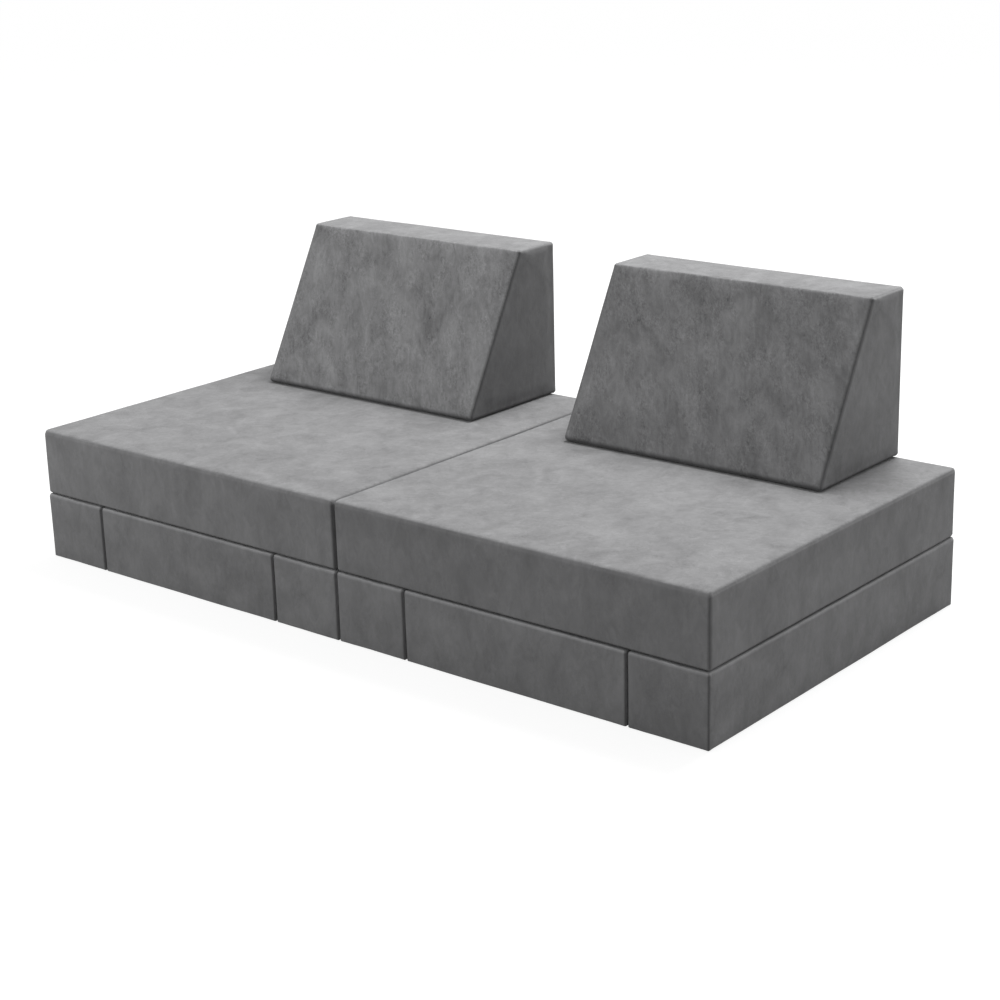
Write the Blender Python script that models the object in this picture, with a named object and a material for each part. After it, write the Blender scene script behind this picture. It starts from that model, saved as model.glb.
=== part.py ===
"""Modular foam play sofa: two square seat slabs on a layer of base blocks, with two wedge backrests.

Every module is a foam core in its own zipped fabric cover. Lengths are in metres, +Z is up, +X runs
along the sofa and the front faces -Y. The origin is on the floor, under the middle of the sofa.
"""

import math

import bmesh
import bpy
from mathutils import Vector

# Module sizes
seat_side = 0.838
seat_height = 0.140
base_height = 0.140
bar_width = 0.168
backrest_width = 0.600
backrest_height = 0.334
backrest_foot_depth = 0.304
backrest_top_depth = 0.118
left_backrest_inset = 0.117
right_backrest_inset = 0.115

# Gaps between modules that stand side by side, and between one and what it stands on
seam_gap = 0.0006
rest_gap = 0.0003

# The upholstered form: rounded edges, a crown that falls away to the edges, sides drawn in between corners
edge_radius = 0.006
seat_crown = 0.005
backrest_crown = 0.004
side_draw = 0.002
cover_wall = 0.002
core_gap = 0.0005
crown_power = 6
sharp_angle = math.radians(50)

# Lines of the form, as shares of a module's half width, half depth and half height
seat_line_shares = (-0.9, -0.72, -0.42, 0, 0.42, 0.72, 0.9)
block_line_shares = (-0.8, -0.4, 0, 0.4, 0.8)
wedge_line_shares = (-0.85, -0.5, 0, 0.5, 0.85)
middle_line_shares = (0,)

# Zips: a tape with a raised chain behind a slot in the cover, and a slider without a pull tab
zip_end_margin = 0.095
backrest_zip_rise = 0.045
slot_width = 0.011
slot_end_clearance = 0.002
tape_width = 0.026
tape_thickness = 0.0008
tape_end = 0.006
tape_gap = 0.0003
chain_width = 0.005
chain_height = 0.0014
slider_width = 0.009
slider_length = 0.012
slider_roof = 0.0011
slider_bevel = 0.0003
slider_gap = 0.0003
slider_stop_gap = 0.001
groove_clearance = 0.001
cut_overrun = 0.004

# Materials: colour, roughness, metallic
finishes = {
    "velvet_grey": ((0.17, 0.17, 0.175), 0.85, 0),
    "foam_white": ((0.86, 0.84, 0.76), 0.95, 0),
    "zip_charcoal": ((0.05, 0.05, 0.055), 0.6, 0),
    "slider_steel": ((0.32, 0.32, 0.33), 0.35, 1),
}


class Module:
    """A foam block in its own frame: the origin under the middle of its foot, the front towards -Y."""

    def __init__(self, name, width, depth, height, top_depth, crown, front_crown, zip_rise):
        self.name = name
        self.width = width
        self.depth = depth
        self.height = height
        self.lean = (depth - top_depth) / height
        self.crown = crown
        self.front_crown = front_crown
        self.zip_rise = zip_rise

    def front(self, z, inset):
        """The front plane's y at a height, moved in by the inset along the plane's own normal."""
        return self.lean * z - self.depth / 2 + inset * math.hypot(1, self.lean)

    def shares(self, point):
        """Where a point lies: -1 to 1 across, front to back, and foot to top."""
        front = self.front(point.z, 0)
        across = point.x / (self.width / 2)
        deep = 2 * (point.y - front) / (self.depth / 2 - front) - 1
        return across, deep, 2 * point.z / self.height - 1

    def formed(self, point):
        """The point moved to the upholstered form."""
        across, deep, high = self.shares(point)
        towards_top = (high + 1) / 2
        towards_front = (1 - deep) / 2
        towards_back = (1 + deep) / 2
        fall = abs(across) ** crown_power + abs(deep) ** crown_power
        front_fall = abs(across) ** crown_power + abs(high) ** crown_power
        side_bow = 1 - (high if self.lean else deep) ** 2
        front_bow = 0 if self.lean else 1 - across**2
        x = point.x - side_draw * across * side_bow
        y = point.y - side_draw * towards_back * (1 - across**2)
        y += side_draw * towards_front * front_bow + self.front_crown * towards_front * front_fall
        z = point.z - self.crown * towards_top * fall
        return Vector((x, y, z))


def clear_scene():
    for obj in list(bpy.data.objects):
        bpy.data.objects.remove(obj)


def make_material(name):
    colour, roughness, metallic = finishes[name]
    material = bpy.data.materials.new(name)
    material.use_nodes = True
    surface = material.node_tree.nodes["Principled BSDF"]
    surface.inputs["Base Color"].default_value = (*colour, 1)
    surface.inputs["Roughness"].default_value = roughness
    surface.inputs["Metallic"].default_value = metallic
    return material


def add_object(name, shape, material, parent):
    mesh = bpy.data.meshes.new(name)
    shape.to_mesh(mesh)
    shape.free()
    obj = bpy.data.objects.new(name, mesh)
    bpy.context.scene.collection.objects.link(obj)
    obj.parent = parent
    if material:
        mesh.materials.append(material)
    return obj


def add_place(name, location, parent):
    """An empty that carries a module and what stands on it."""
    place = bpy.data.objects.new(name, None)
    bpy.context.scene.collection.objects.link(place)
    place.location = location
    place.parent = parent
    return place


def box_shape(low, high):
    shape = bmesh.new()
    bmesh.ops.create_cube(shape, size=1)
    size = Vector(high) - Vector(low)
    middle = (Vector(high) + Vector(low)) / 2
    bmesh.ops.scale(shape, vec=size, verts=shape.verts)
    bmesh.ops.translate(shape, vec=middle, verts=shape.verts)
    return shape


def cut_across(shape, point, normal):
    everything = shape.verts[:] + shape.edges[:] + shape.faces[:]
    bmesh.ops.bisect_plane(shape, geom=everything, plane_co=point, plane_no=normal)


def padded_surface(module, lines, inset, segments):
    """The module's closed surface, moved in by the inset, with rounded edges and the upholstered form."""
    shape = bmesh.new()
    side = module.width / 2 - inset
    back = module.depth / 2 - inset
    rings = []
    for z in (inset, module.height - inset):
        front = module.front(z, inset)
        corners = ((-side, front), (side, front), (side, back), (-side, back))
        rings.append([shape.verts.new((x, y, z)) for x, y in corners])
    foot, top = rings
    shape.faces.new(reversed(foot))
    shape.faces.new(top)
    for here, there in ((0, 1), (1, 2), (2, 3), (3, 0)):
        shape.faces.new((foot[here], foot[there], top[there], top[here]))
    bmesh.ops.bevel(
        shape,
        geom=shape.verts[:] + shape.edges[:],
        offset=edge_radius - inset,
        segments=segments,
        profile=0.5,
        affect="EDGES",
    )
    across_shares, deep_shares, high_shares = lines
    for share in across_shares:
        cut_across(shape, (share * module.width / 2, 0, 0), (1, 0, 0))
    for share in deep_shares:
        back_share = (share + 1) / 2
        y = back_share * module.depth / 2 + (1 - back_share) * module.front(0, 0)
        cut_across(shape, (0, y, 0), (0, 1, -module.lean * (1 - back_share)))
    for share in high_shares:
        cut_across(shape, (0, 0, (share + 1) / 2 * module.height), (0, 0, 1))
    for vert in shape.verts:
        vert.co = module.formed(vert.co)
    bmesh.ops.recalc_face_normals(shape, faces=shape.faces)
    return shape


def shell_shape(module, lines):
    """The cover: the outer surface, with the inner one turned to face the hollow."""
    shape = padded_surface(module, lines, 0, 2)
    lining = padded_surface(module, lines, cover_wall, 1)
    bmesh.ops.reverse_faces(lining, faces=lining.faces)
    mesh = bpy.data.meshes.new("lining")
    lining.to_mesh(mesh)
    lining.free()
    shape.from_mesh(mesh)
    bpy.data.meshes.remove(mesh)
    return shape


def place_on_face(obj, location, turn):
    obj.location = location
    obj.rotation_euler = (0, 0, turn)


def cut_slot(obj, cutter):
    """Takes the cutter, which never shows, out of the object."""
    cutter.hide_render = True
    cutter.display_type = "WIRE"
    cut = obj.modifiers.new("slot", "BOOLEAN")
    cut.operation = "DIFFERENCE"
    cut.solver = "EXACT"
    cut.object = cutter


def tape_shape(length):
    """The zip's tape with its closed chain as a raised rib, the face of the cover at y = 0."""
    front = -(side_draw + cover_wall + tape_gap)
    back = front - tape_thickness
    tape_half = length / 2 + tape_end
    outlines = (
        (tape_half, tape_width / 2, back),
        (tape_half, tape_width / 2, front),
        (length / 2, chain_width / 2, front),
        (length / 2, chain_width / 2, front + chain_height),
    )
    shape = bmesh.new()
    rings = []
    for half_x, half_z, y in outlines:
        corners = ((-half_x, -half_z), (half_x, -half_z), (half_x, half_z), (-half_x, half_z))
        rings.append([shape.verts.new((x, y, z)) for x, z in corners])
    shape.faces.new(rings[0])
    shape.faces.new(rings[-1])
    for inner, outer in zip(rings, rings[1:]):
        for here, there in ((0, 1), (1, 2), (2, 3), (3, 0)):
            shape.faces.new((inner[here], inner[there], outer[there], outer[here]))
    bmesh.ops.recalc_face_normals(shape, faces=shape.faces)
    return shape


def slider_shape():
    """A slider that straddles the chain: a roof and two flanks, its middle at x = 0."""
    tape_front = -(side_draw + cover_wall + tape_gap)
    chain_top = tape_front + chain_height
    low = tape_front + slider_gap
    ceiling = chain_top + slider_gap
    roof = ceiling + slider_roof
    inner = chain_width / 2 + slider_gap
    outer = slider_width / 2
    profile = (
        (low, -outer),
        (roof, -outer),
        (roof, outer),
        (low, outer),
        (low, inner),
        (ceiling, inner),
        (ceiling, -inner),
        (low, -inner),
    )
    shape = bmesh.new()
    start = [shape.verts.new((-slider_length / 2, y, z)) for y, z in profile]
    face = shape.faces.new(start)
    swept = bmesh.ops.extrude_face_region(shape, geom=[face])
    moved = [item for item in swept["geom"] if isinstance(item, bmesh.types.BMVert)]
    bmesh.ops.translate(shape, vec=(slider_length, 0, 0), verts=moved)
    bmesh.ops.recalc_face_normals(shape, faces=shape.faces)
    roof_edges = [
        edge for edge in shape.edges if all(abs(vert.co.y - roof) < slider_bevel for vert in edge.verts)
    ]
    bmesh.ops.bevel(shape, geom=roof_edges, offset=slider_bevel, segments=1, affect="EDGES")
    return shape


def round_off(obj):
    obj.data.shade_smooth()
    obj.data.set_sharp_from_angle(angle=sharp_angle)


def add_zip(module, place, cover, core, face):
    """Cuts the slot and the core's groove, and adds the tape and the slider at its closed end."""
    if face == "back":
        location = (0, module.depth / 2, module.zip_rise)
        turn = 0
        length = module.width - 2 * zip_end_margin
    else:
        side = 1 if face == "right" else -1
        location = (side * module.width / 2, 0, module.zip_rise)
        turn = -side * math.pi / 2
        length = module.depth - 2 * zip_end_margin
    slot_half = length / 2 + slot_end_clearance
    slot_depth = side_draw + cover_wall + cut_overrun
    slot = add_object(
        module.name + "_slot_cutter",
        box_shape((-slot_half, -slot_depth, -slot_width / 2), (slot_half, cut_overrun, slot_width / 2)),
        None,
        place,
    )
    place_on_face(slot, location, turn)
    cut_slot(cover, slot)
    groove_half = length / 2 + tape_end + groove_clearance
    groove_depth = side_draw + cover_wall + tape_gap + tape_thickness + core_gap
    groove_rise = tape_width / 2 + groove_clearance
    groove = add_object(
        module.name + "_groove_cutter",
        box_shape((-groove_half, -groove_depth, -groove_rise), (groove_half, cut_overrun, groove_rise)),
        None,
        place,
    )
    place_on_face(groove, location, turn)
    cut_slot(core, groove)
    tape = add_object(module.name + "_zip_tape", tape_shape(length), materials["zip_charcoal"], place)
    place_on_face(tape, location, turn)
    slider = add_object(module.name + "_zip_slider", slider_shape(), materials["slider_steel"], place)
    place_on_face(slider, location, turn)
    closed_end = length / 2 - slider_length / 2 - slider_stop_gap
    slider.location += slider.rotation_euler.to_matrix() @ Vector((closed_end, 0, 0))


def add_module(module, location, parent, lines, face):
    """A module's core, cover and zip, on an empty at the middle of its foot."""
    place = add_place(module.name, location, parent)
    cover = add_object(
        module.name + "_cover", shell_shape(module, lines), materials["velvet_grey"], place
    )
    core = add_object(
        module.name + "_core",
        padded_surface(module, lines, cover_wall + core_gap, 1),
        materials["foam_white"],
        place,
    )
    add_zip(module, place, cover, core, face)
    round_off(cover)
    round_off(core)
    return place


def add_base(side_name, half_x):
    """One half's base layer: a bar, a wide block and a bar. Returns the wide block's empty."""
    middle_width = seat_side - 2 * bar_width - 2 * seam_gap
    bar_x = (seat_side - bar_width) / 2
    rise = base_height / 2
    name = "base_" + side_name + "_"
    middle = Module(name + "middle", middle_width, seat_side, base_height, seat_side, 0, 0, rise)
    lines = (block_line_shares, block_line_shares, middle_line_shares)
    bar_lines = (middle_line_shares, block_line_shares, middle_line_shares)
    middle_place = add_module(middle, (half_x, 0, 0), None, lines, "back")
    outwards = math.copysign(1, half_x)
    for part_name, towards in (("outer", outwards), ("inner", -outwards)):
        bar = Module(name + part_name, bar_width, seat_side, base_height, seat_side, 0, 0, rise)
        face = "left" if towards > 0 else "right"
        add_module(bar, (towards * bar_x, 0, 0), middle_place, bar_lines, face)
    return middle_place


def add_half(side_name, half_x, backrest_inset):
    """One half of the sofa: base blocks, the seat slab on them, and the backrest at its back edge."""
    base_place = add_base(side_name, half_x)
    seat = Module(
        "seat_" + side_name,
        seat_side,
        seat_side,
        seat_height,
        seat_side,
        seat_crown,
        0,
        seat_height / 2,
    )
    seat_lines = (seat_line_shares, seat_line_shares, middle_line_shares)
    seat_place = add_module(seat, (0, 0, base_height + rest_gap), base_place, seat_lines, "back")
    backrest = Module(
        "backrest_" + side_name,
        backrest_width,
        backrest_foot_depth,
        backrest_height,
        backrest_top_depth,
        0,
        backrest_crown,
        backrest_zip_rise,
    )
    backrest_x = backrest_inset + (backrest_width - seat_side) / 2
    backrest_y = (seat_side - backrest_foot_depth) / 2
    wedge_lines = (wedge_line_shares, middle_line_shares, wedge_line_shares)
    location = (backrest_x, backrest_y, seat_height + rest_gap)
    add_module(backrest, location, seat_place, wedge_lines, "back")


clear_scene()
materials = {name: make_material(name) for name in finishes}
half_offset = (seat_side + seam_gap) / 2
add_half("left", -half_offset, left_backrest_inset)
add_half("right", half_offset, right_backrest_inset)
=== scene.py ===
import math

import bmesh
import bpy
import numpy as np
from mathutils import Matrix, Vector, noise
from mathutils.bvhtree import BVHTree


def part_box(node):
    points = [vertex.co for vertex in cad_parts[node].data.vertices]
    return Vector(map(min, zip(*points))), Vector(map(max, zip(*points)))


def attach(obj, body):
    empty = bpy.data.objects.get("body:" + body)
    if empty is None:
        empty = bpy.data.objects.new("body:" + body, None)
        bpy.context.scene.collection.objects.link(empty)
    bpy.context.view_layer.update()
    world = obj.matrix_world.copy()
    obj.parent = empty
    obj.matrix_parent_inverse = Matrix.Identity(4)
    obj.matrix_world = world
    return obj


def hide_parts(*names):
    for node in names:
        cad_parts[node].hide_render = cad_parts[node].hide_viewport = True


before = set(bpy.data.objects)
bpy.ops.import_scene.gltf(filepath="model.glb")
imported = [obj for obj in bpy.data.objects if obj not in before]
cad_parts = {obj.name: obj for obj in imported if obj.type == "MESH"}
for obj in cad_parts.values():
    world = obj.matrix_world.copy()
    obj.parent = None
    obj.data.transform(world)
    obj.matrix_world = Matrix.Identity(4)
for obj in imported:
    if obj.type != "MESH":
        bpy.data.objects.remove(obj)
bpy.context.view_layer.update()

# The camera stands off the sofa's right front corner, about 1.45 m above the floor, and looks down across
# both seats. It has a fairly long lens, so the sofa's edges run nearly parallel.
camera_place = Vector((2.5804, -3.0144, 1.4534))
camera_yaw = 0.69726
camera_pitch = -0.31332
camera_roll = -0.0275
camera_lens = 74.76
camera_sensor = 36.0


def look_matrix(place, yaw, pitch, roll):
    """The camera's matrix: yaw turns it left from +Y, pitch tips it up, roll leans it."""
    ahead = Vector((-math.sin(yaw) * math.cos(pitch), math.cos(yaw) * math.cos(pitch), math.sin(pitch)))
    right = Vector((math.cos(yaw), math.sin(yaw), 0))
    up = right.cross(ahead)
    leaned_right = math.cos(roll) * right + math.sin(roll) * up
    leaned_up = math.cos(roll) * up - math.sin(roll) * right
    turn = Matrix((leaned_right, leaned_up, -ahead)).transposed()
    return Matrix.Translation(place) @ turn.to_4x4()


camera = bpy.data.objects.new("camera", bpy.data.cameras.new("camera"))
camera.data.lens = camera_lens
camera.data.sensor_width = camera_sensor
camera.matrix_world = look_matrix(camera_place, camera_yaw, camera_pitch, camera_roll)
bpy.context.scene.collection.objects.link(camera)
bpy.context.scene.camera = camera

# The covers are cut from a short-napped grey velvet, one panel to each face, and sewn inside out so that
# the seams lie in the rounded edges. Stroking turns the nap, which leaves soft light and dark blotches.
velvet_tint = (0.205, 0.205, 0.208)
velvet_roughness = 0.88
velvet_sheen = 0.12
velvet_sheen_roughness = 0.45
velvet_gloss = 0.25
velvet_relief = 0.0007


class Socket:
    """An output socket that takes part in sums: each operator adds the Math node it stands for."""

    def __init__(self, finish, output):
        self.finish = finish
        self.output = output

    def beside(self, output):
        """Another output of the same node."""
        return Socket(self.finish, self.output.node.outputs[output])

    def math(self, operation, other, swapped=False):
        values = [other, self] if swapped else [self, other]
        return self.finish.add("ShaderNodeMath", {"operation": operation}, dict(enumerate(values)))

    def __add__(self, other):
        return self.math("ADD", other)

    def __sub__(self, other):
        return self.math("SUBTRACT", other)

    def __rsub__(self, other):
        return self.math("SUBTRACT", other, swapped=True)

    def __mul__(self, other):
        return self.math("MULTIPLY", other)

    __radd__ = __add__
    __rmul__ = __mul__


class Finish:
    """The nodes of a material or of the world, with one method that adds any node."""

    def __init__(self, owner):
        owner.use_nodes = True
        self.owner = owner
        self.nodes = owner.node_tree.nodes
        self.links = owner.node_tree.links

    def join(self, value, socket):
        if isinstance(value, Socket):
            self.links.new(value.output, socket)
        else:
            socket.default_value = value

    def add(self, kind, settings, values, output=0):
        """Adds a node: its settings first, a ramp's stops among them, then its sockets' values or links."""
        node = self.nodes.new(kind)
        for name, value in settings.items():
            if name == "stops":
                ramp = node.color_ramp.elements
                for element, (place, tone) in zip(ramp, value):
                    element.position = place
                    element.color = (tone, tone, tone, 1)
            else:
                setattr(node, name, value)
        for name, value in values.items():
            self.join(value, node.inputs[name])
        return Socket(self, node.outputs[output])

    def noise(self, place, scale, detail=2.0, distortion=0.0):
        values = {"Vector": place, "Scale": scale, "Detail": detail, "Distortion": distortion}
        return self.add("ShaderNodeTexNoise", {}, values)

    def stretched_noise(self, place, scales, detail, distortion=0.0):
        """Noise with its own scale along each axis."""
        stretched = self.add("ShaderNodeMapping", {}, {"Vector": place, "Scale": scales})
        return self.noise(stretched, 1.0, detail, distortion)

    def object_place(self):
        return self.add("ShaderNodeTexCoord", {}, {}, output="Object")

    def tinted(self, colour, brightness):
        """The colour, lighter or darker by a factor that varies over the surface."""
        grey = self.add("ShaderNodeCombineXYZ", {}, dict.fromkeys("XYZ", brightness))
        return self.add("ShaderNodeVectorMath", {"operation": "MULTIPLY"}, {0: colour, 1: grey})

    def set(self, values):
        """Sets or links the surface shader's inputs."""
        for name, value in values.items():
            self.join(value, self.nodes["Principled BSDF"].inputs[name])

    def bump(self, height, distance, strength):
        values = {"Height": height, "Distance": distance, "Strength": strength}
        return self.add("ShaderNodeBump", {}, values)


def make_velvet():
    """Nap blotches, brushed streaks up the panel, fine pile, painted shade at the seams, corners and feet,
    and a painted highlight on the top edges.
    """
    velvet = Finish(bpy.data.materials.new("velvet"))
    panel = velvet.add("ShaderNodeUVMap", {"uv_map": "panel"}, {})
    # The marks hold painted shade in red, a painted highlight on the top edges in green, and how crushed
    # the nap is in blue.
    marks = velvet.add("ShaderNodeAttribute", {"attribute_name": "marks"}, {})
    dark = velvet.add("ShaderNodeSeparateColor", {}, {"Color": marks})
    wear_and_rim_light = dark.beside("Green")
    crushing = dark.beside("Blue")
    # Each panel's painted shade, lighter or darker where more or less light falls on that face.
    panel_shade = velvet.add("ShaderNodeAttribute", {"attribute_name": "painted_panel_shade"}, {}, output="Fac")
    blotches = velvet.stretched_noise(panel, (13.0, 8.0, 1), detail=3.0, distortion=0.9)
    smudges = velvet.stretched_noise(panel, (46.0, 25.0, 1), detail=4.0, distortion=1.3)
    patches = velvet.stretched_noise(panel, (17.0, 13.0, 1), detail=2.0, distortion=1.5)
    streaks = velvet.stretched_noise(panel, (150.0, 24.0, 1), detail=2.0, distortion=0.8)
    mottle = velvet.stretched_noise(panel, (170.0, 115.0, 1), detail=3.0, distortion=0.6)
    grain = velvet.stretched_noise(panel, (380.0, 260.0, 1), detail=1.0)
    pile = velvet.stretched_noise(panel, (900.0, 600.0, 1), detail=2.0)
    crushed = velvet.add("ShaderNodeValToRGB", {"stops": ((0.4, 0.25), (0.62, 1.0))}, {"Fac": patches})
    soft = 0.9 * (blotches - 0.5) + 0.65 * (smudges - 0.5)
    fine = crushed * (0.95 * (mottle - 0.5) + 0.6 * (grain - 0.5)) + 0.2 * (streaks - 0.5)
    fuzz = (0.05 + 0.12 * crushing) * (pile - 0.5)
    tone = 1 + (0.45 + 0.65 * crushing) * soft + crushing * fine + fuzz
    # Painted shade darkens the seams, upright corners and feet, a painted highlight lightens the top edges,
    # and each panel gets its own painted shade.
    tone = tone * panel_shade * (1 - 0.55 * dark) * (1 + 0.5 * wear_and_rim_light)
    velvet.set({
        "Base Color": velvet.tinted(velvet_tint, tone),
        "Roughness": velvet_roughness + 0.10 * (smudges - 0.5),
        "Sheen Weight": velvet_sheen,
        "Sheen Roughness": velvet_sheen_roughness,
        "Specular IOR Level": velvet_gloss,
        "Normal": velvet.bump(pile + 0.5 * mottle + 0.4 * streaks + smudges, velvet_relief, 0.45),
    })
    return velvet.owner


velvet_material = make_velvet()

# A cover's panels are laid out as a lattice over the foam block: flat faces, with the lines drawn
# together round each edge. The same lattice, coarser, is what the fabric is blown up on.
panel_spacing = 0.018
edge_lines = 3
edge_run = 0.006
nap_turn_on_top = math.radians(40)
nap_spread_on_top = 1.6
nap_slant = 0.39
panel_shift_by_axis = 3.7
panel_shift_by_side = 1.9


class Block:
    """A foam block's place: its box, and how far its front leans back on the way up."""

    def __init__(self, low, high, top_depth=None):
        self.low = Vector(low)
        self.high = Vector(high)
        depth = self.high.y - self.low.y
        height = self.high.z - self.low.z
        self.lean = (depth - (top_depth or depth)) / height
        self.slope = math.hypot(1, self.lean)
        self.front_normal = Vector((0, -1 / self.slope, self.lean / self.slope))

    def front(self, z, inset):
        return self.low.y + self.lean * (z - self.low.z) + inset * self.slope

    def room(self, axis, insets):
        """Along an axis, where the block moved in by (across, deep, foot, top) starts, and its length."""
        across, deep, foot, top = insets
        before, after = ((across, across), (deep, deep), (foot, top))[axis]
        start = self.low[axis] + before
        return start, self.high[axis] - after - start

    def share(self, axis, value, insets):
        start, length = self.room(axis, insets)
        return 2 * (value - start) / length - 1

    def inner(self, shares, insets):
        """The point at these shares, -1 to 1 along each axis, of the block moved in by its insets."""
        x_share, y_share, z_share = (0.5 + 0.5 * share for share in shares)
        x_start, width = self.room(0, insets)
        z_start, height = self.room(2, insets)
        z = z_start + z_share * height
        front = self.front(z, insets[1])
        back = self.high.y - insets[1]
        return Vector((x_start + x_share * width, front + y_share * (back - front), z))


def axis_stops(length, spacing, extra):
    """Places along one axis of the flat part of a face, as shares, with the extra ones kept exactly."""
    count = max(2, round(length / spacing))
    even = [2 * step / count - 1 for step in range(count + 1)]
    kept = sorted({-1.0, 1.0, *extra})
    if length > 4 * edge_run:
        kept = sorted({*kept, 2 * edge_run / length - 1, 1 - 2 * edge_run / length})
    room = spacing / length
    return sorted(kept + [stop for stop in even if min(abs(stop - other) for other in kept) > room])


def axis_steps(stops, lines):
    """(share, side, line) for every lattice line: the flat stops between the two rounded edges' lines."""
    steps = [(-1.0, -1, line) for line in range(lines, 0, -1)]
    steps += [(stop, 1 if stop > 0 else -1, 0) for stop in stops]
    steps += [(1.0, 1, line) for line in range(1, lines + 1)]
    return steps


def insets_of(rounding, inset):
    return tuple(radius + inset for radius in rounding)


class Lattice:
    """The closed surface of a rounded block as a mesh of four-sided cells.

    The rounding is how far the edges reach across, in depth, up from the foot and down from the top.
    """

    def __init__(self, block, rounding, inset, spacing, lines, extra=((), (), ())):
        self.block = block
        self.rounding = rounding
        self.insets = insets_of(rounding, inset)
        sizes = [block.room(axis, self.insets)[1] for axis in range(3)]
        self.steps = [axis_steps(axis_stops(sizes[axis], spacing, extra[axis]), lines) for axis in range(3)]
        self.lines = lines
        self.index = {}
        self.points = []
        self.ways = []
        self.keys = []
        self.faces = []
        self.panels = []
        counts = [len(steps) for steps in self.steps]
        for axis in range(3):
            across, up = [other for other in range(3) if other != axis]
            for end in (0, counts[axis] - 1):
                for i in range(counts[across] - 1):
                    for j in range(counts[up] - 1):
                        self.add_cell(axis, end, across, up, i, j)

    def add_cell(self, axis, end, across, up, i, j):
        cell = []
        for di, dj in ((0, 0), (1, 0), (1, 1), (0, 1)):
            key = [0, 0, 0]
            key[axis] = end
            key[across] = i + di
            key[up] = j + dj
            cell.append(self.vertex(tuple(key)))
        outwards = (end > 0) != (axis == 1)
        self.faces.append(cell if outwards else cell[::-1])
        self.panels.append((axis, 1 if end else -1))

    def vertex(self, key):
        if key in self.index:
            return self.index[key]
        state = [self.steps[axis][key[axis]] for axis in range(3)]
        way = Vector((0, 0, 0))
        for axis, (share, side, line) in enumerate(state):
            if not line:
                continue
            pull = math.tan(math.pi / 4 * line / self.lines)
            if axis == 1 and side < 0:
                way += pull * self.block.front_normal
            else:
                unit = Vector((0, 0, 0))
                unit[axis] = side
                way += pull * unit
        way.normalize()
        inner = self.block.inner([share for share, side, line in state], self.insets)
        across, deep, foot, top = self.rounding
        bulge = Vector((across * way.x, deep * way.y, (top if way.z > 0 else foot) * way.z))
        self.index[key] = len(self.points)
        self.points.append(inner + bulge)
        self.ways.append(way)
        self.keys.append([side * line for share, side, line in state])
        return self.index[key]

    def panel_place(self, panel, point):
        """Where a point lies on its panel's flat cut, in metres, with the nap along the second axis."""
        axis, side = panel
        offset = panel_shift_by_axis * axis + panel_shift_by_side * side
        if axis == 0:
            return point.y + offset, point.z
        if axis == 1:
            leaning = side < 0 and self.block.lean > 0
            slant = nap_slant if leaning else 0
            return point.x + slant * point.z + offset, point.z * (self.block.slope if leaning else 1)
        cos, sin = math.cos(nap_turn_on_top), math.sin(nap_turn_on_top)
        along = point.x * cos + point.y * sin
        return point.y * cos - point.x * sin + offset, nap_spread_on_top * along


def lattice_mesh(name, lattice, points):
    mesh = bpy.data.meshes.new(name)
    mesh.from_pydata([tuple(point) for point in points], [], lattice.faces)
    return mesh


def add_piece(name, mesh, material):
    piece = bpy.data.objects.new(name, mesh)
    bpy.context.scene.collection.objects.link(piece)
    if material:
        mesh.materials.clear()
        mesh.materials.append(material)
    return piece


# The blocks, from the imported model's own boxes. Every cover swells against its foam: the simulation blows
# each one up a little from a slightly smaller shape, and what it touches presses it flat again.
cover_rounding = {
    "base": (0.0048, 0.0048, 0.002, 0.006),
    "seat": (0.006, 0.010, 0.0055, 0.011),
    "backrest": (0.0078, 0.0078, 0.0078, 0.0078),
}
swell_room = {"base": 0.0005, "seat": 0.0008, "backrest": 0.0008}
swell_cap = 2
backrest_top_depth = 0.118
simulation_spacing = 0.03
simulation_frames = 20
fabric_settings = {
    "quality": 6,
    "mass": 0.3,
    "tension_stiffness": 30,
    "compression_stiffness": 30,
    "shear_stiffness": 15,
    "bending_stiffness": 2,
    "use_pressure": True,
    "uniform_pressure_force": 4.0,
}
nearness_floor = 1e-5
module_names = [name.removesuffix("_cover") for name in sorted(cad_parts) if name.endswith("_cover")]


def block_of(module):
    low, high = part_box(module + "_cover")
    top_depth = backrest_top_depth if module.startswith("backrest") else None
    return Block(low, high, top_depth)


def kind_of(module):
    return module.split("_")[0]


def blow_up(modules):
    """Runs the cloth of all the covers together, and returns each one's (surface, moves)."""
    pads = {}
    for module in modules:
        kind = kind_of(module)
        lattice = Lattice(blocks[module], cover_rounding[kind], swell_room[kind], simulation_spacing, 1)
        pad = add_piece(module + "_pad", lattice_mesh(module, lattice, lattice.points), None)
        cloth = pad.modifiers.new("cloth", "CLOTH")
        for name, value in fabric_settings.items():
            setattr(cloth.settings, name, value)
        cloth.settings.effector_weights.gravity = 0
        cloth.point_cache.frame_end = simulation_frames
        pads[module] = (pad, lattice)
    scene = bpy.context.scene
    for step in range(1, simulation_frames + 1):
        scene.frame_set(step)
    graph = bpy.context.evaluated_depsgraph_get()
    surfaces = {}
    for module, (pad, lattice) in pads.items():
        ended = pad.evaluated_get(graph).data
        moved = np.empty(len(ended.vertices) * 3)
        ended.vertices.foreach_get("co", moved)
        moves = moved.reshape(-1, 3) - np.array([tuple(point) for point in lattice.points])
        surfaces[module] = (lattice, moves)
    scene.frame_set(1)
    for pad, lattice in pads.values():
        mesh = pad.data
        bpy.data.objects.remove(pad)
        bpy.data.meshes.remove(mesh)
    return surfaces


blocks = {module: block_of(module) for module in module_names}
swollen = blow_up(module_names)


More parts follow.
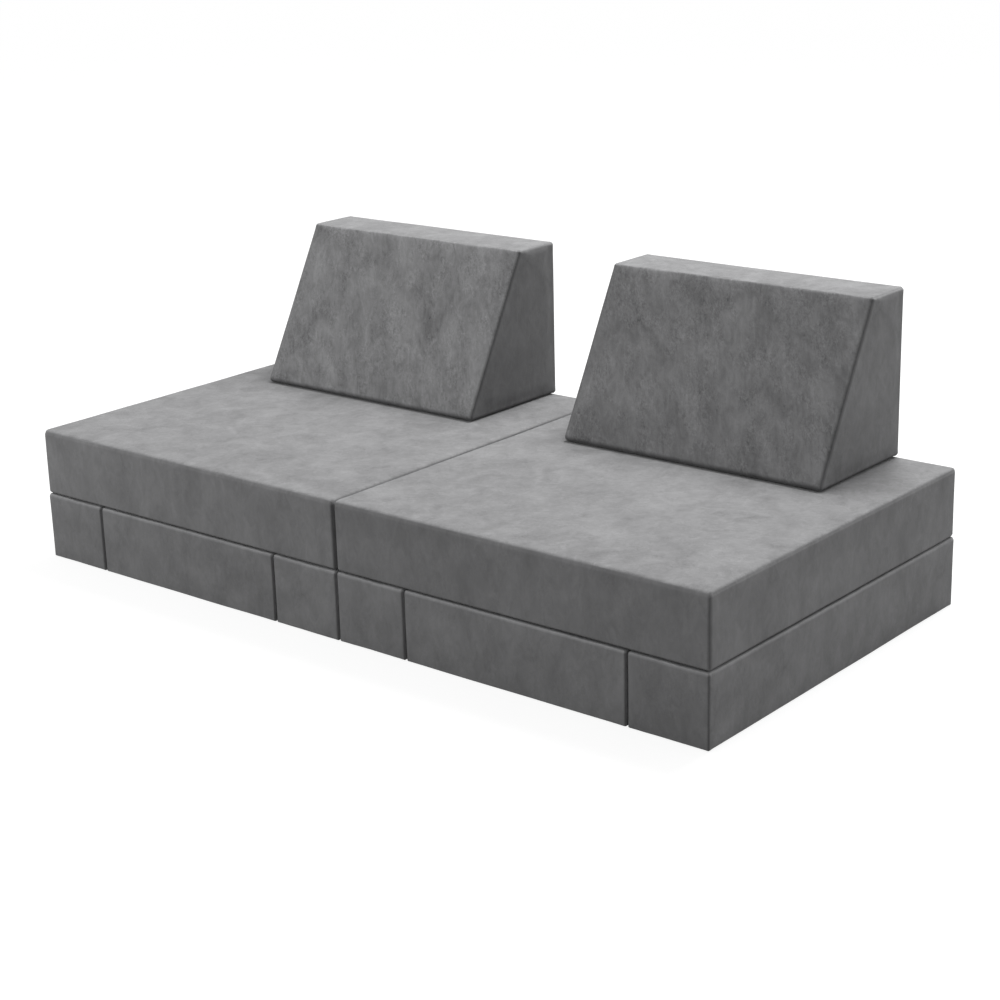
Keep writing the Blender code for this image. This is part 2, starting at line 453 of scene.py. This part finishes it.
def moves_at(module, points):
    """The simulated move at each point, read from the nearest cell of the coarse surface."""
    if module not in swollen:
        return [Vector((0, 0, 0)) for point in points]
    lattice, moves = swollen[module]
    tree = BVHTree.FromPolygons([tuple(p) for p in lattice.points], lattice.faces)
    found = []
    for point in points:
        place, normal, face, distance = tree.find_nearest(point)
        corners = lattice.faces[face]
        reaches = [(lattice.points[corner] - place).length + nearness_floor for corner in corners]
        weights = [1 / reach**2 for reach in reaches]
        total = sum(weights)
        move = sum((weight * moves[corner] for weight, corner in zip(weights, corners)), np.zeros(3))
        found.append(Vector(move / total))
    return found


# Where each cover's zip runs: behind a slot in the back face, or in a bar's side that faces the wide block.
# The tape node's box gives the line; the fabric is folded in at the slot's edges.
tape_overlap = 0.006
slot_end_room = 0.0035
slot_rim = 0.0025
slot_half_height = 0.0055
lip_depth = 0.0016
lip_lean = 0.0006
slot_search_depth = 0.02


class ZipLine:
    """A zip's straight line: its middle on the chain's face, the way it runs, and the way it faces."""

    def __init__(self, module):
        low, high = (Vector(corner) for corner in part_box(module + "_zip_tape"))
        size = high - low
        self.axis = 0 if size.x > size.y else 1
        self.facing_axis = 1 - self.axis
        block_middle = (blocks[module].low + blocks[module].high) / 2
        middle = (low + high) / 2
        self.side = 1 if middle[self.facing_axis] > block_middle[self.facing_axis] else -1
        self.chain_half = size[self.axis] / 2 - tape_overlap
        self.slot_half = self.chain_half + slot_end_room
        self.middle = middle
        self.middle[self.facing_axis] = (high if self.side > 0 else low)[self.facing_axis]

    def place(self, along, out, up):
        point = self.middle.copy()
        point[self.axis] += along
        point[self.facing_axis] += self.side * out
        point.z += up
        return point

    def on_face(self, block, along, up):
        """The point on the block's face, straight out from the zip."""
        point = self.place(along, 0, up)
        point[self.facing_axis] = (block.high if self.side > 0 else block.low)[self.facing_axis]
        return point

    def stops(self, block, insets, half_run, half_height, rim):
        """Shares, along each axis, of lattice lines at a window round the zip and a rim outside it."""
        found = ([], [], [])
        for axis, half in ((self.axis, half_run), (2, half_height)):
            for reach in (-half - rim, -half, half, half + rim):
                found[axis].append(block.share(axis, self.middle[axis] + reach, insets))
        return found

    def holds(self, point, half_run, half_height):
        return (
            abs(point[self.axis] - self.middle[self.axis]) < half_run
            and abs(point.z - self.middle.z) < half_height
        )


zips = {module: ZipLine(module) for module in module_names}

# Sewing: the seam allowance pulls a narrow valley into the rounded edge. Slabs and blocks have a top and a
# bottom panel sewn to four side bands; a wedge has two side panels sewn to one strip that runs round it.
seam_depth = 0.0007
seam_line = 2
upright_seam_share = 0.4
pucker_scale = 60.0
pucker_share = 0.35
slack_scale = 6.0
slack_height = 0.0007
cover_thickness = 0.0014
wedge_settling = 0.08
rest_room = 0.0004
probe_height = 1.0
seat_edge_margin = 0.008
# Painted light on the covers: a painted highlight on each kind's rounded top edges, and painted shade in
# the seams, upright corners and rounded feet where modules meet.
rim_highlight = {"base": 1.5, "seat": 0.5, "backrest": 0.3}
seam_painted_shade = 0.5
foot_shade = 0.9
nap_crush = {"leaning": 1.0, "flat": 0.5, "upright": 0.3}
# Each panel gets a painted shade, lighter or darker by how the light falls on it: the left wedge's side
# lies in the right wedge's shadow, and the fronts darken towards the right.
painted_panel_shade = {
    ("backrest_left", 1, -1): 1.17,
    ("backrest_left", 0, 1): 0.76,
    ("backrest_right", 1, -1): 0.93,
    ("backrest_right", 0, 1): 1.05,
    ("seat_right", 1, -1): 0.9,
    ("base_right_outer", 1, -1): 0.9,
    ("base_left_inner", 1, -1): 1.07,
}


def seam_weight(module, key):
    """1 where this lattice point lies on a sewn seam, less on an upright seam, else 0."""
    across, deep, high = (abs(line) for line in key)
    if module.startswith("backrest"):
        return float(across == edge_lines and edge_lines in (deep, high))
    if across == edge_lines and deep == edge_lines:
        return upright_seam_share
    return float(high == seam_line and edge_lines in (across, deep))


def marks_of(module, key, panel):
    """Painted shade at seams, upright corners and rounded feet, a painted highlight on rounded top edges,
    and how crushed the nap is.
    """
    across, deep, high = (abs(line) / edge_lines for line in key)
    corner = min(across, deep)
    rounded = min(high, max(across, deep))
    rim = rounded if key[2] > 0 else 0
    foot = rounded if key[2] < 0 else 0
    sewn = seam_painted_shade if seam_weight(module, key) and high else 0
    # A painted highlight on the rounded top edges, where they catch the light.
    wear_and_rim_light = rim * (1 - corner) * rim_highlight[kind_of(module)]
    leaning = module.startswith("backrest") and panel == (1, -1)
    crushed = nap_crush["leaning" if leaning else "flat" if panel[0] == 2 else "upright"]
    # Painted shade in the seams, the upright corners and the feet, kept off the lit top edges.
    return max(sewn, corner, foot_shade * foot) * (1 - rim), wear_and_rim_light, crushed, 1


def swell(module, points, ways):
    """Moves points with the simulated fabric, by twice its room at most, plus a little slack."""
    limit = swell_cap * swell_room[kind_of(module)]
    out = []
    for point, way, move in zip(points, ways, moves_at(module, points)):
        if move.length > limit:
            move = move * (limit / move.length)
        slack = slack_height * noise.noise(point * slack_scale)
        out.append(point + move + slack * way)
    return out


def keep_inside(block, point):
    """Presses the fabric flat where the next module stands against it."""
    return Vector(min(max(point[axis], block.low[axis]), block.high[axis]) for axis in range(3))


def settle(points, foot, under, ground):
    """Lets a wedge's soft foot follow the seat that it stands on, and hang over the seat's rounded edge."""
    settled = []
    for point in points:
        rise = point.z - foot
        if rise < wedge_settling:
            probe = keep_inside(under, point)
            probe.z = probe_height
            place, normal, face, distance = ground.ray_cast(probe, Vector((0, 0, -1)))
            share = (1 - rise / wedge_settling) ** 2
            point = point + Vector((0, 0, share * (place.z + rest_room - foot)))
        settled.append(point)
    return settled


def finished_mesh(piece):
    """The piece's mesh with its modifiers made real."""
    graph = bpy.context.evaluated_depsgraph_get()
    mesh = bpy.data.meshes.new_from_object(piece.evaluated_get(graph))
    mesh.name = piece.name
    piece.modifiers.clear()
    old = piece.data
    piece.data = mesh
    bpy.data.meshes.remove(old)
    mesh.shade_smooth()
    return mesh


def cut_zip_slot(mesh, zip_line):
    """Opens the slot and folds its edges in towards the zip."""
    shape = bmesh.new()
    shape.from_mesh(mesh)
    panel = shape.loops.layers.uv["panel"]
    window = []
    for face in shape.faces:
        middle = face.calc_center_median()
        outer = zip_line.side * (middle[zip_line.facing_axis] - zip_line.middle[zip_line.facing_axis])
        near = abs(outer) < slot_search_depth
        if near and zip_line.holds(middle, zip_line.slot_half, slot_half_height):
            window.append(face)
    bmesh.ops.delete(shape, geom=window, context="FACES")
    rim = [edge for edge in shape.edges if edge.is_boundary]
    folded = bmesh.ops.extrude_edge_only(shape, edges=rim)
    for vert in (item for item in folded["geom"] if isinstance(item, bmesh.types.BMVert)):
        inwards = math.copysign(1, zip_line.middle.z - vert.co.z)
        vert.co[zip_line.facing_axis] -= zip_line.side * lip_depth
        vert.co.z += inwards * lip_lean
        for loop in vert.link_loops:
            loop[panel].uv.y += inwards * (lip_depth + lip_lean)
    bmesh.ops.recalc_face_normals(shape, faces=shape.faces)
    shape.to_mesh(mesh)
    shape.free()


def sew(module, lattice):
    """The lattice's points, swollen, pressed flat and drawn in along the seams."""
    sewn = []
    for point, key, way in zip(swell(module, lattice.points, lattice.ways), lattice.keys, lattice.ways):
        point = keep_inside(blocks[module], point)
        depth = seam_depth * (1 + pucker_share * noise.noise(point * pucker_scale))
        sewn.append(point - seam_weight(module, key) * depth * way)
    return sewn


def mark_panels(mesh, module, lattice):
    """Gives every corner its place on the panel's cut, its marks, and its panel's painted shade."""
    mesh.uv_layers.new(name="panel")
    mesh.color_attributes.new(name="marks", type="FLOAT_COLOR", domain="CORNER")
    mesh.attributes.new(name="painted_panel_shade", type="FLOAT", domain="CORNER")
    places = mesh.uv_layers["panel"].data
    marks = mesh.color_attributes["marks"].data
    panel_shades = mesh.attributes["painted_panel_shade"].data
    for polygon, panel in zip(mesh.polygons, lattice.panels):
        for loop in polygon.loop_indices:
            number = mesh.loops[loop].vertex_index
            places[loop].uv = lattice.panel_place(panel, lattice.points[number])
            marks[loop].color = marks_of(module, lattice.keys[number], panel)
            panel_shades[loop].value = painted_panel_shade.get((module, *panel), 1.0)


def add_cover(module, under=None):
    """One module's fabric cover, in place of the plain shell. A wedge settles into the module under it."""
    kind = kind_of(module)
    block = blocks[module]
    zip_line = zips[module]
    rounding = cover_rounding[kind]
    inset = swell_room[kind]
    insets = insets_of(rounding, inset)
    extra = zip_line.stops(block, insets, zip_line.slot_half, slot_half_height, slot_rim)
    lattice = Lattice(block, rounding, inset, panel_spacing, edge_lines, extra)
    points = sew(module, lattice)
    if under:
        margin = Vector((seat_edge_margin, seat_edge_margin, 0))
        top = Block(blocks[under].low + margin, blocks[under].high - margin)
        points = settle(points, block.low.z + inset, top, surface_of(covers[under]))
    mesh = lattice_mesh(module + "_velvet", lattice, points)
    mark_panels(mesh, module, lattice)
    cut_zip_slot(mesh, zip_line)
    piece = add_piece(module + "_velvet", mesh, velvet_material)
    smooth = piece.modifiers.new("smooth", "SUBSURF")
    smooth.levels = 1
    smooth.render_levels = 1
    wall = piece.modifiers.new("wall", "SOLIDIFY")
    wall.thickness = cover_thickness
    wall.offset = -1
    finished_mesh(piece)
    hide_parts(module + "_cover")
    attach(piece, module)
    return piece


def surface_of(piece):
    mesh = piece.data
    places = [vert.co for vert in mesh.vertices]
    return BVHTree.FromPolygons(places, [polygon.vertices for polygon in mesh.polygons])


# The base blocks and the two seat slabs come first, because each backrest settles into its seat.
covers = {module: add_cover(module) for module in module_names if not module.startswith("backrest")}
for side in ("left", "right"):
    covers["backrest_" + side] = add_cover("backrest_" + side, "seat_" + side)

# Inside each cover is one block of cream polyurethane foam, cut with a hot wire and a little smaller than
# its cover. A shallow channel in it takes the zip's tape. It shows only when a cover comes off.
core_room = 0.0045
core_spacing = 0.03
core_lines = 2
channel_half_height = 0.0145
channel_setback = 0.0068
channel_edge = 0.004
channel_tolerance = 0.001
foam_tint = (0.78, 0.74, 0.62)
foam_relief = 0.0008
foam_sharp_angle = math.radians(40)


def make_foam():
    """Open cells: fine pits, with the soft waves that the wire leaves."""
    foam = Finish(bpy.data.materials.new("foam"))
    place = foam.object_place()
    cells = foam.add("ShaderNodeTexVoronoi", {"feature": "F1"}, {"Vector": place, "Scale": 700.0})
    waves = foam.stretched_noise(place, (6.0, 6.0, 60.0), detail=2.0)
    tone = 0.9 + 0.16 * (waves - 0.5) + 0.18 * cells
    foam.set({
        "Base Color": foam.tinted(foam_tint, tone),
        "Roughness": 0.86 + 0.08 * waves,
        "Normal": foam.bump(cells + 0.5 * waves, foam_relief, 0.7),
    })
    return foam.owner


foam_material = make_foam()


def add_core(module):
    """One module's foam, swollen as its cover is, with the channel pressed in behind the zip."""
    kind = kind_of(module)
    block = blocks[module]
    zip_line = zips[module]
    inset = swell_room[kind] + core_room
    rounding = cover_rounding[kind]
    half_run = zip_line.slot_half + tape_overlap
    insets = insets_of(rounding, inset)
    extra = zip_line.stops(block, insets, half_run, channel_half_height, channel_edge)
    lattice = Lattice(block, rounding, inset, core_spacing, core_lines, extra)
    points = swell(module, lattice.points, lattice.ways)
    channel_floor = zip_line.place(0, -channel_setback, 0)[zip_line.facing_axis]
    window = (half_run + channel_tolerance, channel_half_height + channel_tolerance)
    for point, key in zip(points, lattice.keys):
        on_face = key[zip_line.facing_axis] == zip_line.side * core_lines
        if on_face and zip_line.holds(point, *window):
            point[zip_line.facing_axis] = channel_floor
    piece = add_piece(module + "_foam", lattice_mesh(module + "_foam", lattice, points), foam_material)
    piece.data.shade_smooth()
    piece.data.set_sharp_from_angle(angle=foam_sharp_angle)
    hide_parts(module + "_core")
    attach(piece, module)


for module in module_names:
    add_core(module)

# The zips are moulded coil: a woven tape with the coil's turns across its middle. The tape and its rib are
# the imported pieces; the turns are laid along the rib, and a row of stitching holds each tape edge.
turn_pitch = 0.0021
turn_size = (0.0015, 0.0056, 0.0016)
stitch_pitch = 0.0042
stitch_size = (0.0031, 0.0008, 0.0007)
stitch_setback = 0.0045
stitch_reach = 0.02
bead_segments = 8
bead_rings = 5
bead_jitter = (0.94, 1.04)
bead_seed = 7
coil_tint = (0.045, 0.045, 0.048)
coil_relief = 0.0001
tape_tint = (0.05, 0.05, 0.053)
thread_tint = (0.16, 0.16, 0.163)
weave_relief = 0.0002


def bead_line_tree(name):
    """A node tree that lays small rounded beads along a straight path, and its inputs' identifiers."""
    tree = bpy.data.node_groups.new(name, "GeometryNodeTree")
    identifiers = {}
    kinds = {"Path": "Geometry", "Pitch": "Float", "Size": "Vector", "Finish": "Material"}
    for title, kind in kinds.items():
        made = tree.interface.new_socket(title, in_out="INPUT", socket_type="NodeSocket" + kind)
        identifiers[title] = made.identifier
    tree.interface.new_socket("Beads", in_out="OUTPUT", socket_type="NodeSocketGeometry")

    def node(kind, values, **settings):
        made = tree.nodes.new(kind)
        for title, value in settings.items():
            setattr(made, title, value)
        for title, value in values.items():
            if isinstance(value, bpy.types.NodeSocket):
                tree.links.new(value, made.inputs[title])
            else:
                made.inputs[title].default_value = value
        return made.outputs

    given = tree.nodes.new("NodeGroupInput").outputs
    path = node("GeometryNodeMeshToCurve", {"Mesh": given["Path"]})[0]
    places = node("GeometryNodeCurveToPoints", {"Curve": path, "Length": given["Pitch"]}, mode="LENGTH")[0]
    sphere = {"Segments": bead_segments, "Rings": bead_rings, "Radius": 0.5}
    ball = node("GeometryNodeMeshUVSphere", sphere)[0]
    bead = node("GeometryNodeTransform", {"Geometry": ball, "Scale": given["Size"]})[0]
    smallest, largest = ((share, share, share) for share in bead_jitter)
    spread = {0: smallest, 1: largest, "Seed": bead_seed}
    jitter = node("FunctionNodeRandomValue", spread, data_type="FLOAT_VECTOR")[0]
    laid = node("GeometryNodeInstanceOnPoints", {"Points": places, "Instance": bead, "Scale": jitter})[0]
    real = node("GeometryNodeRealizeInstances", {"Geometry": laid})[0]
    smooth = node("GeometryNodeSetShadeSmooth", {"Geometry": real})[0]
    finished = node("GeometryNodeSetMaterial", {"Geometry": smooth, "Material": given["Finish"]})[0]
    tree.links.new(finished, tree.nodes.new("NodeGroupOutput").inputs[0])
    return tree, identifiers


bead_tree, bead_inputs = bead_line_tree("beads_along_a_line")


def lay_beads(name, paths, axis, pitch, size, material):
    """Beads along straight paths, as one plain mesh. The size is along, across and through."""
    mesh = bpy.data.meshes.new(name)
    ends = [tuple(point) for path in paths for point in path]
    mesh.from_pydata(ends, [(2 * step, 2 * step + 1) for step in range(len(paths))], [])
    piece = add_piece(name, mesh, None)
    layer = piece.modifiers.new("beads", "NODES")
    layer.node_group = bead_tree
    along, across, through = size
    turned = (along, through, across) if axis == 0 else (through, along, across)
    layer[bead_inputs["Pitch"]] = pitch
    layer[bead_inputs["Size"]] = turned
    layer[bead_inputs["Finish"]] = material
    finished_mesh(piece)
    return piece


def make_coil():
    """Moulded charcoal plastic with a slight sheen from handling."""
    coil = Finish(bpy.data.materials.new("zip_coil"))
    place = coil.object_place()
    wear_and_rim_light = coil.noise(place, 40.0, 3.0)
    coil.set({
        "Base Color": coil.tinted(coil_tint, 0.8 + 0.5 * wear_and_rim_light),
        "Roughness": 0.38 + 0.2 * wear_and_rim_light,
        "Normal": coil.bump(coil.noise(place, 900.0), coil_relief, 0.4),
    })
    return coil.owner


def make_tape():
    """Twill-woven polyester tape."""
    tape = Finish(bpy.data.materials.new("zip_tape"))
    settings = {"wave_type": "BANDS", "bands_direction": "DIAGONAL"}
    values = {"Vector": tape.object_place(), "Scale": 420.0, "Distortion": 0.6, "Detail": 1.0}
    weave = tape.add("ShaderNodeTexWave", settings, values, output="Fac")
    tape.set({
        "Base Color": tape.tinted(tape_tint, 0.75 + 0.5 * weave),
        "Roughness": 0.8 + 0.1 * weave,
        "Normal": tape.bump(weave, weave_relief, 0.8),
    })
    return tape.owner


def make_thread():
    """Twisted grey sewing thread."""
    thread = Finish(bpy.data.materials.new("thread"))
    twist = thread.noise(thread.object_place(), 1500.0, 1.0)
    thread.set({
        "Base Color": thread.tinted(thread_tint, 0.8 + 0.4 * twist),
        "Roughness": 0.6 + 0.2 * twist,
        "Normal": thread.bump(twist, weave_relief, 0.5),
    })
    return thread.owner


coil_material = make_coil()
tape_material = make_tape()
thread_material = make_thread()


def sink_into_nap(stitches, module):
    """Moves each stitch straight onto the fabric behind it, so that it is half sunk in the nap."""
    zip_line = zips[module]
    ground = surface_of(covers[module])
    inwards = Vector((0, 0, 0))
    inwards[zip_line.facing_axis] = -zip_line.side
    verts = stitches.data.vertices
    bead_verts = bead_segments * (bead_rings - 1) + 2
    for start in range(0, len(verts), bead_verts):
        stitch = verts[start : start + bead_verts]
        middle = sum((vert.co for vert in stitch), Vector()) / len(stitch)
        place, normal, face, distance = ground.ray_cast(middle - stitch_reach * inwards, inwards)
        if place:
            for vert in stitch:
                vert.co += place - middle


def add_zip(module):
    """The tape's weave, the coil's turns along its rib, and a row of stitches beside each slot edge."""
    zip_line = zips[module]
    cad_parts[module + "_zip_tape"].material_slots[0].material = tape_material
    reach = zip_line.chain_half - turn_pitch
    rib = (zip_line.place(-reach, 0, 0), zip_line.place(reach, 0, 0))
    turns = lay_beads(module + "_zip_turns", [rib], zip_line.axis, turn_pitch, turn_size, coil_material)
    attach(turns, module)
    ends = (-zip_line.slot_half, zip_line.slot_half)
    rise = slot_half_height + stitch_setback
    rows = [[zip_line.on_face(blocks[module], along, up) for along in ends] for up in (-rise, rise)]
    name = module + "_topstitch"
    stitches = lay_beads(name, rows, zip_line.axis, stitch_pitch, stitch_size, thread_material)
    sink_into_nap(stitches, module)
    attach(stitches, module)


for module in module_names:
    add_zip(module)

# Each slider is die-cast and tumbled. It has a nose, two flanks that close the coil and a low bridge, but
# no pull tab, so that a child can't open the cover.
slider_length = 0.012
slider_width = 0.009
slider_roof = 0.0011
slider_mouth_half = 0.0028
slider_least_wall = 0.0008
slider_crown = 0.0002
slider_bevel = (0.0004, 0.0005)
slider_rings = 14
nose_share = 0.22
nose_least = 0.35
waist_place = 0.62
waist_spread = 0.2
waist_depth = 0.16
bridge_height = 0.0009
bridge_half_length = 0.28 * slider_length
bridge_half_width = 0.16 * slider_width
slider_tint = (0.34, 0.34, 0.35)
slider_relief = 0.0001
slider_sharp_angle = math.radians(45)


def make_slider_metal():
    """Tumbled grey metal, polished unevenly by use."""
    metal = Finish(bpy.data.materials.new("slider_metal"))
    place = metal.object_place()
    worn = metal.noise(place, 160.0, 4.0)
    metal.set({
        "Base Color": metal.tinted(slider_tint, 0.8 + 0.4 * worn),
        "Roughness": 0.28 + 0.3 * worn,
        "Metallic": 1.0,
        "Normal": metal.bump(metal.noise(place, 700.0), slider_relief, 0.5),
    })
    return metal.owner


slider_material = make_slider_metal()


def slider_outline(share):
    """Half the slider's width at a share of its length: a round nose, a waist and a wide mouth."""
    nose = math.sqrt(max(0, 1 - (1 - min(share / nose_share, 1)) ** 2))
    waist = 1 - waist_depth * math.exp(-(((share - waist_place) / waist_spread) ** 2))
    return slider_width / 2 * max(nose_least, nose) * waist


def slider_section(share, height):
    """The slider's channel section at a share of its length, as (out, up) points round it."""
    half = slider_outline(share)
    inner = min(slider_mouth_half, half - slider_least_wall)
    top = height / 2 - slider_crown * (1 - math.sin(math.pi * share))
    ceiling = height / 2 - slider_roof
    foot = -height / 2
    drop, back = slider_bevel
    flank = [(ceiling, inner), (foot, inner), (foot, half), (top - drop, half), (top, half - back)]
    return [(out, -up) for out, up in flank] + flank[::-1]


def slider_shape(height):
    """The slider's mesh round its own middle: along its run, outwards, and up."""
    shape = bmesh.new()
    rings = []
    for step in range(slider_rings + 1):
        share = step / slider_rings
        along = (share - 0.5) * slider_length
        rings.append([shape.verts.new((along, out, up)) for out, up in slider_section(share, height)])
    for here, there in zip(rings, rings[1:]):
        for number in range(len(here)):
            shape.faces.new((here[number - 1], here[number], there[number], there[number - 1]))
    shape.faces.new(rings[0][::-1])
    shape.faces.new(rings[-1])
    bridge = bmesh.ops.create_uvsphere(shape, u_segments=16, v_segments=8, radius=1)["verts"]
    bmesh.ops.scale(shape, vec=(bridge_half_length, bridge_height, bridge_half_width), verts=bridge)
    bmesh.ops.translate(shape, vec=(0, height / 2 - slider_crown, 0), verts=bridge)
    return shape


def add_slider(module):
    """The slider in its packed box: the same roof and flanks, with a nose, a waist and a bridge."""
    low, high = (Vector(corner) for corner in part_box(module + "_zip_slider"))
    zip_line = zips[module]
    middle = (low + high) / 2
    shape = slider_shape((high - low)[zip_line.facing_axis])
    for vert in shape.verts:
        along, out, up = vert.co
        place = middle.copy()
        place[zip_line.axis] += zip_line.side * along
        place[zip_line.facing_axis] += zip_line.side * out
        place.z += up
        vert.co = place
    # A zip along Y swaps two axes, which turns the slider inside out, so its faces are turned back.
    if zip_line.axis == 1:
        bmesh.ops.reverse_faces(shape, faces=shape.faces)
    mesh = bpy.data.meshes.new(module + "_slider")
    shape.to_mesh(mesh)
    shape.free()
    mesh.shade_smooth()
    mesh.set_sharp_from_angle(angle=slider_sharp_angle)
    piece = add_piece(module + "_slider", mesh, slider_material)
    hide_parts(module + "_zip_slider")
    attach(piece, module + "_zip_slider")


for module in module_names:
    add_slider(module)

# The studio: a white floor that keeps a faint shadow, one broad soft light high behind the sofa, a weak
# fill in front of it, and an even white surround.
floor_half = 30.0
floor_tint = 0.35
floor_tint_seen = 0.9
floor_roughness = 0.9
floor_glow_share = 0.75
floor_glow = 1.15
white = (1, 1, 1, 1)
surround_strength = 0.6
key_place = Vector((0.1, 2.1, 4.25))
key_aim = Vector((0, -0.1, 0.2))
key_size = 2.2
key_power = 245.0
fill_place = Vector((-1.5, -1.7, 0.85))
fill_aim = Vector((-0.5, 0, 0.25))
fill_size = 0.7
fill_power = 5.0


def make_floor():
    """White where the camera or a reflection sees it, darker for the light that it throws back."""
    floor = Finish(bpy.data.materials.new("floor"))
    camera_rays = floor.add("ShaderNodeLightPath", {}, {}, output="Is Camera Ray")
    mirrored_rays = camera_rays.beside("Is Glossy Ray") + camera_rays.beside("Is Transmission Ray")
    tint = floor_tint + (floor_tint_seen - floor_tint) * camera_rays
    floor.set({"Base Color": floor.tinted((1, 1, 1), tint), "Roughness": floor_roughness})
    shaded = Socket(floor, floor.nodes["Principled BSDF"].outputs[0])
    glow = floor.add("ShaderNodeEmission", {}, {"Color": white, "Strength": floor_glow})
    seen = floor_glow_share * (camera_rays + mirrored_rays)
    mixed = floor.add("ShaderNodeMixShader", {}, {0: seen, 1: shaded, 2: glow})
    floor.join(mixed, floor.nodes["Material Output"].inputs["Surface"])
    return floor.owner


floor_mesh = bpy.data.meshes.new("floor")
floor_ways = ((-1, -1), (1, -1), (1, 1), (-1, 1))
floor_corners = [(floor_half * x, floor_half * y, 0) for x, y in floor_ways]
floor_mesh.from_pydata(floor_corners, [], [(0, 1, 2, 3)])
add_piece("floor", floor_mesh, make_floor())


def make_world():
    """White where the camera looks past the floor, and a dimmer even light on the object."""
    surround = Finish(bpy.data.worlds.new("surround"))
    background = surround.nodes["Background"]
    surround.join(white, background.inputs["Color"])
    surround.join(surround_strength, background.inputs["Strength"])
    dimmer = Socket(surround, background.outputs[0])
    seen = surround.add("ShaderNodeLightPath", {}, {}, output="Is Camera Ray")
    bright = surround.add("ShaderNodeBackground", {}, {"Color": white})
    mixed = surround.add("ShaderNodeMixShader", {}, {0: seen, 1: dimmer, 2: bright})
    surround.join(mixed, surround.nodes["World Output"].inputs["Surface"])
    return surround.owner


bpy.context.scene.world = make_world()


def add_light(name, place, aim, size, power):
    lamp = bpy.data.lights.new(name, "AREA")
    lamp.shape = "DISK"
    lamp.size = size
    lamp.energy = power
    light = bpy.data.objects.new(name, lamp)
    light.location = place
    light.rotation_euler = (aim - place).to_track_quat("-Z", "Y").to_euler()
    bpy.context.scene.collection.objects.link(light)


add_light("key", key_place, key_aim, key_size, key_power)
add_light("fill", fill_place, fill_aim, fill_size, fill_power)
bpy.context.scene.view_settings.view_transform = "Standard"
